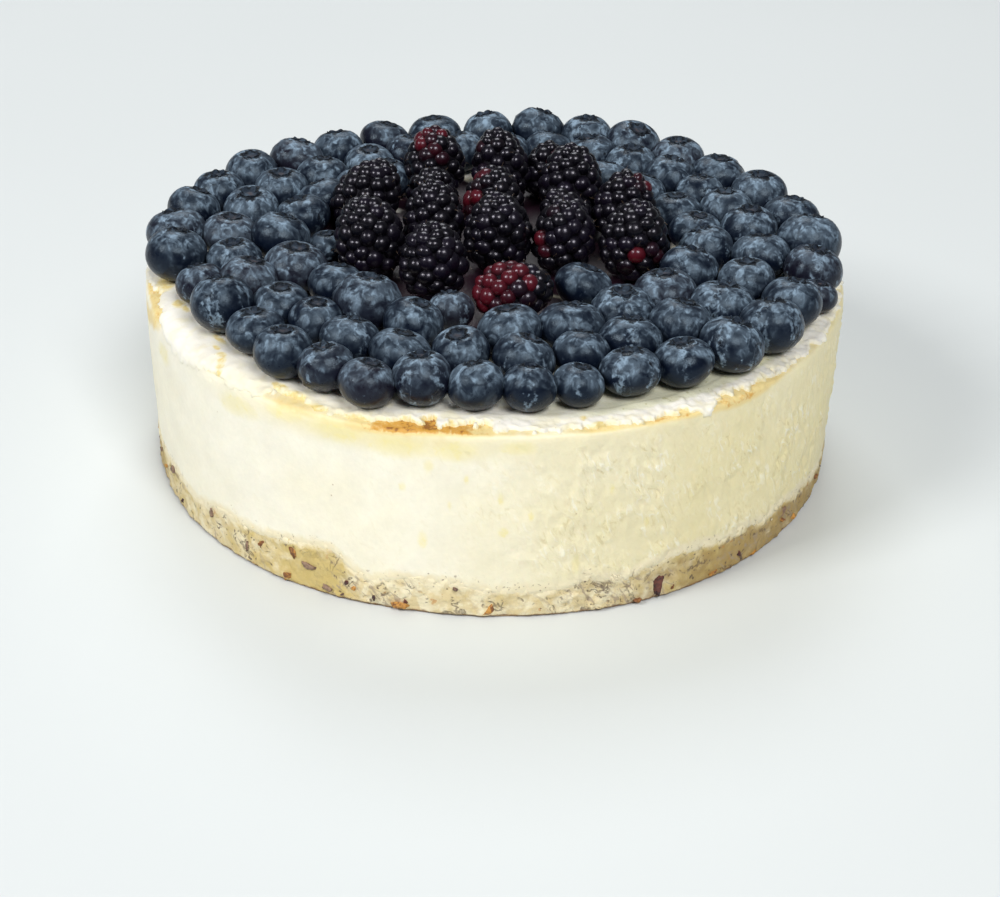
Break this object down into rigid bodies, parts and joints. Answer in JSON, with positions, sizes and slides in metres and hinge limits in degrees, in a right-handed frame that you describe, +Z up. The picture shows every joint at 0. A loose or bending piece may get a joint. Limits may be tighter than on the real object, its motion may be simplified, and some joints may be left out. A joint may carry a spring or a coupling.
{
  "type": "baked cheesecake",
  "caption": "Tall round baked cheesecake on a pressed nut crust, with thin cream on top, rings of blueberries and a heap of dark berries in the middle.",
  "frame": {"origin": "centre of the cake's underside, on the surface that it stands on", "axes": "+Z up through the cake; -Y is the front, the side that is seen best; +X to the right seen from the front"},
  "size_m": [0.23, 0.2276, 0.0928],
  "materials": {
    "nut_crust": "dull, crumbly pressed nut dough",
    "baked_filling": "moist satin baked cheese filling",
    "white_cream": "soft satin cream",
    "blueberry_skin": "dark blue skin with a pale waxy bloom",
    "dark_berry_skin": "glossy purple-black drupelets"
  },
  "bodies": {
    "root": {"crust": "nut_crust", "filling": "baked_filling", "cream_topping": "white_cream", "blueberry_carpet": "blueberry_skin", "blueberry_1": "blueberry_skin", "blueberry_2": "blueberry_skin", "blueberry_3": "blueberry_skin", "dark_berry_01": "dark_berry_skin", "dark_berry_02": "dark_berry_skin", "dark_berry_03": "dark_berry_skin", "dark_berry_04": "dark_berry_skin", "dark_berry_05": "dark_berry_skin", "dark_berry_06": "dark_berry_skin", "dark_berry_07": "dark_berry_skin", "dark_berry_08": "dark_berry_skin", "dark_berry_09": "dark_berry_skin", "dark_berry_10": "dark_berry_skin", "dark_berry_11": "dark_berry_skin", "dark_berry_12": "dark_berry_skin", "dark_berry_13": "dark_berry_skin", "dark_berry_14": "dark_berry_skin", "dark_berry_15": "dark_berry_skin", "dark_berry_16": "dark_berry_skin"}
  },
  "joints": []
}
